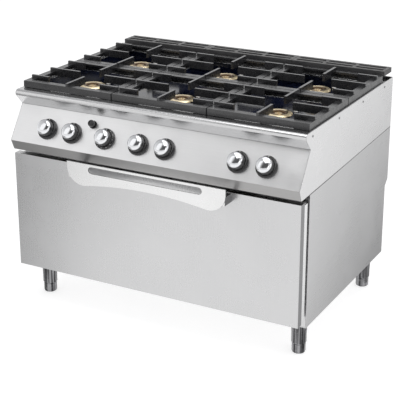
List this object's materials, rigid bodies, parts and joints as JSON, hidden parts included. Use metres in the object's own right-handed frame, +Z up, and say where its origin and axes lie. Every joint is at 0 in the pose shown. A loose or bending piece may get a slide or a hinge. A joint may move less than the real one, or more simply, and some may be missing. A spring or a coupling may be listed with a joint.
{
  "type": "commercial gas range",
  "caption": "Commercial gas range with open burners under cast grates, sloping control panel, drop-down oven door and rear flue, on short steel legs.",
  "frame": {"origin": "on the floor at the middle of the overall box", "axes": "+Z up, -Y towards the cook (door and knobs), +X to the right as the cook faces the range"},
  "size_m": [1.2, 0.935, 0.905],
  "materials": {
    "satin_steel": "satin brushed stainless steel",
    "panel_steel": "fine brushed stainless steel",
    "polished_steel": "polished stainless steel",
    "aluminised_steel": "dull aluminised steel",
    "black_enamel": "glossy blue-black vitreous enamel",
    "cast_iron": "matt black enamelled cast iron",
    "brass": "machined brass",
    "black_knob": "glossy black thermoset plastic",
    "black_rubber": "matt black silicone",
    "chrome_wire": "chromed steel wire"
  },
  "bodies": {
    "cabinet": {"base_panel": "satin_steel", "burner_base_centre": "cast_iron", "burner_base_left": "cast_iron", "burner_base_right": "cast_iron", "control_panel": "panel_steel", "door_gasket": "black_rubber", "flue_duct": "aluminised_steel", "front_frame": "satin_steel", "gas_inlet": "satin_steel", "gas_manifold": "brass", "igniter_body": "black_knob", "leg_sleeve_front_left": "polished_steel", "leg_sleeve_front_right": "polished_steel", "leg_sleeve_rear_left": "polished_steel", "leg_sleeve_rear_right": "polished_steel", "lower_side_left": "satin_steel", "lower_side_right": "satin_steel", "oven_burner": "aluminised_steel", "oven_liner_back": "aluminised_steel", "oven_liner_left": "aluminised_steel", "oven_liner_right": "aluminised_steel", "oven_liner_top": "aluminised_steel", "rear_panel_lower": "satin_steel", "rear_panel_upper": "satin_steel", "sole_plate": "cast_iron", "spill_tray": "black_enamel", "top_side_left": "satin_steel", "top_side_right": "satin_steel", "worktop": "satin_steel"},
    "grate_front_left": {"grate_front_left": "cast_iron"},
    "crown_front_left": {"burner_crown_front_left": "brass"},
    "grate_front_centre": {"grate_front_centre": "cast_iron"},
    "crown_front_centre": {"burner_crown_front_centre": "brass"},
    "grate_front_right": {"grate_front_right": "cast_iron"},
    "crown_front_right": {"burner_crown_front_right": "brass"},
    "grate_rear_left": {"grate_rear_left": "cast_iron"},
    "crown_rear_left": {"burner_crown_rear_left": "brass"},
    "grate_rear_centre": {"grate_rear_centre": "cast_iron"},
    "crown_rear_centre": {"burner_crown_rear_centre": "brass"},
    "grate_rear_right": {"grate_rear_right": "cast_iron"},
    "crown_rear_right": {"burner_crown_rear_right": "brass"},
    "flue_grille_left": {"flue_grille_left": "cast_iron"},
    "flue_grille_centre": {"flue_grille_centre": "cast_iron"},
    "flue_grille_right": {"flue_grille_right": "cast_iron"},
    "knob_1": {"knob_1": "black_knob"},
    "knob_2": {"knob_2": "black_knob"},
    "knob_3": {"knob_3": "black_knob"},
    "knob_4": {"knob_4": "black_knob"},
    "knob_5": {"knob_5": "black_knob"},
    "knob_6": {"knob_6": "black_knob"},
    "knob_7": {"knob_7": "black_knob"},
    "igniter_button": {"igniter_button": "black_knob"},
    "door": {"door_outer": "satin_steel", "door_inner": "satin_steel", "door_handle": "satin_steel"},
    "rack": {"oven_rack": "chrome_wire"},
    "foot_front_left": {"leg_foot_front_left": "polished_steel"},
    "foot_front_right": {"leg_foot_front_right": "polished_steel"},
    "foot_rear_left": {"leg_foot_rear_left": "polished_steel"},
    "foot_rear_right": {"leg_foot_rear_right": "polished_steel"}
  },
  "joints": [
    {"name": "grate_lift_front_left", "type": "slide", "parent": "cabinet", "child": "grate_front_left", "axis": [0, 0, 1], "range_m": [0, 0.12]},
    {"name": "crown_lift_front_left", "type": "slide", "parent": "cabinet", "child": "crown_front_left", "axis": [0, 0, 1], "range_m": [0, 0.08]},
    {"name": "grate_lift_front_centre", "type": "slide", "parent": "cabinet", "child": "grate_front_centre", "axis": [0, 0, 1], "range_m": [0, 0.12]},
    {"name": "crown_lift_front_centre", "type": "slide", "parent": "cabinet", "child": "crown_front_centre", "axis": [0, 0, 1], "range_m": [0, 0.08]},
    {"name": "grate_lift_front_right", "type": "slide", "parent": "cabinet", "child": "grate_front_right", "axis": [0, 0, 1], "range_m": [0, 0.12]},
    {"name": "crown_lift_front_right", "type": "slide", "parent": "cabinet", "child": "crown_front_right", "axis": [0, 0, 1], "range_m": [0, 0.08]},
    {"name": "grate_lift_rear_left", "type": "slide", "parent": "cabinet", "child": "grate_rear_left", "axis": [0, 0, 1], "range_m": [0, 0.12]},
    {"name": "crown_lift_rear_left", "type": "slide", "parent": "cabinet", "child": "crown_rear_left", "axis": [0, 0, 1], "range_m": [0, 0.08]},
    {"name": "grate_lift_rear_centre", "type": "slide", "parent": "cabinet", "child": "grate_rear_centre", "axis": [0, 0, 1], "range_m": [0, 0.12]},
    {"name": "crown_lift_rear_centre", "type": "slide", "parent": "cabinet", "child": "crown_rear_centre", "axis": [0, 0, 1], "range_m": [0, 0.08]},
    {"name": "grate_lift_rear_right", "type": "slide", "parent": "cabinet", "child": "grate_rear_right", "axis": [0, 0, 1], "range_m": [0, 0.12]},
    {"name": "crown_lift_rear_right", "type": "slide", "parent": "cabinet", "child": "crown_rear_right", "axis": [0, 0, 1], "range_m": [0, 0.08]},
    {"name": "flue_lift_left", "type": "slide", "parent": "cabinet", "child": "flue_grille_left", "axis": [0, 0, 1], "range_m": [0, 0.08]},
    {"name": "flue_lift_centre", "type": "slide", "parent": "cabinet", "child": "flue_grille_centre", "axis": [0, 0, 1], "range_m": [0, 0.08]},
    {"name": "flue_lift_right", "type": "slide", "parent": "cabinet", "child": "flue_grille_right", "axis": [0, 0, 1], "range_m": [0, 0.08]},
    {"name": "knob_turn_1", "type": "hinge", "parent": "cabinet", "child": "knob_1", "pos_m": [-0.45, -0.3967, 0.73225], "axis": [0, -0.8346, 0.5508], "range_deg": [0, 240]},
    {"name": "knob_turn_2", "type": "hinge", "parent": "cabinet", "child": "knob_2", "pos_m": [-0.34, -0.3967, 0.73225], "axis": [0, -0.8346, 0.5508], "range_deg": [0, 240]},
    {"name": "knob_turn_3", "type": "hinge", "parent": "cabinet", "child": "knob_3", "pos_m": [-0.195, -0.3967, 0.73225], "axis": [0, -0.8346, 0.5508], "range_deg": [0, 240]},
    {"name": "knob_turn_4", "type": "hinge", "parent": "cabinet", "child": "knob_4", "pos_m": [-0.052, -0.3967, 0.73225], "axis": [0, -0.8346, 0.5508], "range_deg": [0, 240]},
    {"name": "knob_turn_5", "type": "hinge", "parent": "cabinet", "child": "knob_5", "pos_m": [0.058, -0.3967, 0.73225], "axis": [0, -0.8346, 0.5508], "range_deg": [0, 240]},
    {"name": "knob_turn_6", "type": "hinge", "parent": "cabinet", "child": "knob_6", "pos_m": [0.35, -0.3967, 0.73225], "axis": [0, -0.8346, 0.5508], "range_deg": [0, 240]},
    {"name": "knob_turn_7", "type": "hinge", "parent": "cabinet", "child": "knob_7", "pos_m": [0.46, -0.3967, 0.73225], "axis": [0, -0.8346, 0.5508], "range_deg": [0, 240]},
    {"name": "igniter_press", "type": "slide", "parent": "cabinet", "child": "igniter_button", "axis": [0, 0.8346, -0.5508], "range_m": [0, 0.005], "stiffness_N_per_m": 250, "springref_m": -0.004},
    {"name": "door_hinge", "type": "hinge", "parent": "cabinet", "child": "door", "pos_m": [0, -0.358, 0.1626], "axis": [1, 0, 0], "range_deg": [0, 90]},
    {"name": "rack_slide", "type": "slide", "parent": "cabinet", "child": "rack", "axis": [0, -1, 0], "range_m": [0, 0.35]},
    {"name": "foot_level_front_left", "type": "slide", "parent": "cabinet", "child": "foot_front_left", "axis": [0, 0, -1], "range_m": [0, 0.03]},
    {"name": "foot_level_front_right", "type": "slide", "parent": "cabinet", "child": "foot_front_right", "axis": [0, 0, -1], "range_m": [0, 0.03]},
    {"name": "foot_level_rear_left", "type": "slide", "parent": "cabinet", "child": "foot_rear_left", "axis": [0, 0, -1], "range_m": [0, 0.03]},
    {"name": "foot_level_rear_right", "type": "slide", "parent": "cabinet", "child": "foot_rear_right", "axis": [0, 0, -1], "range_m": [0, 0.03]}
  ],
  "couplings": [
    {"joint": "rack_slide", "follows": "door_hinge", "m_per_rad": 0.22}
  ]
}
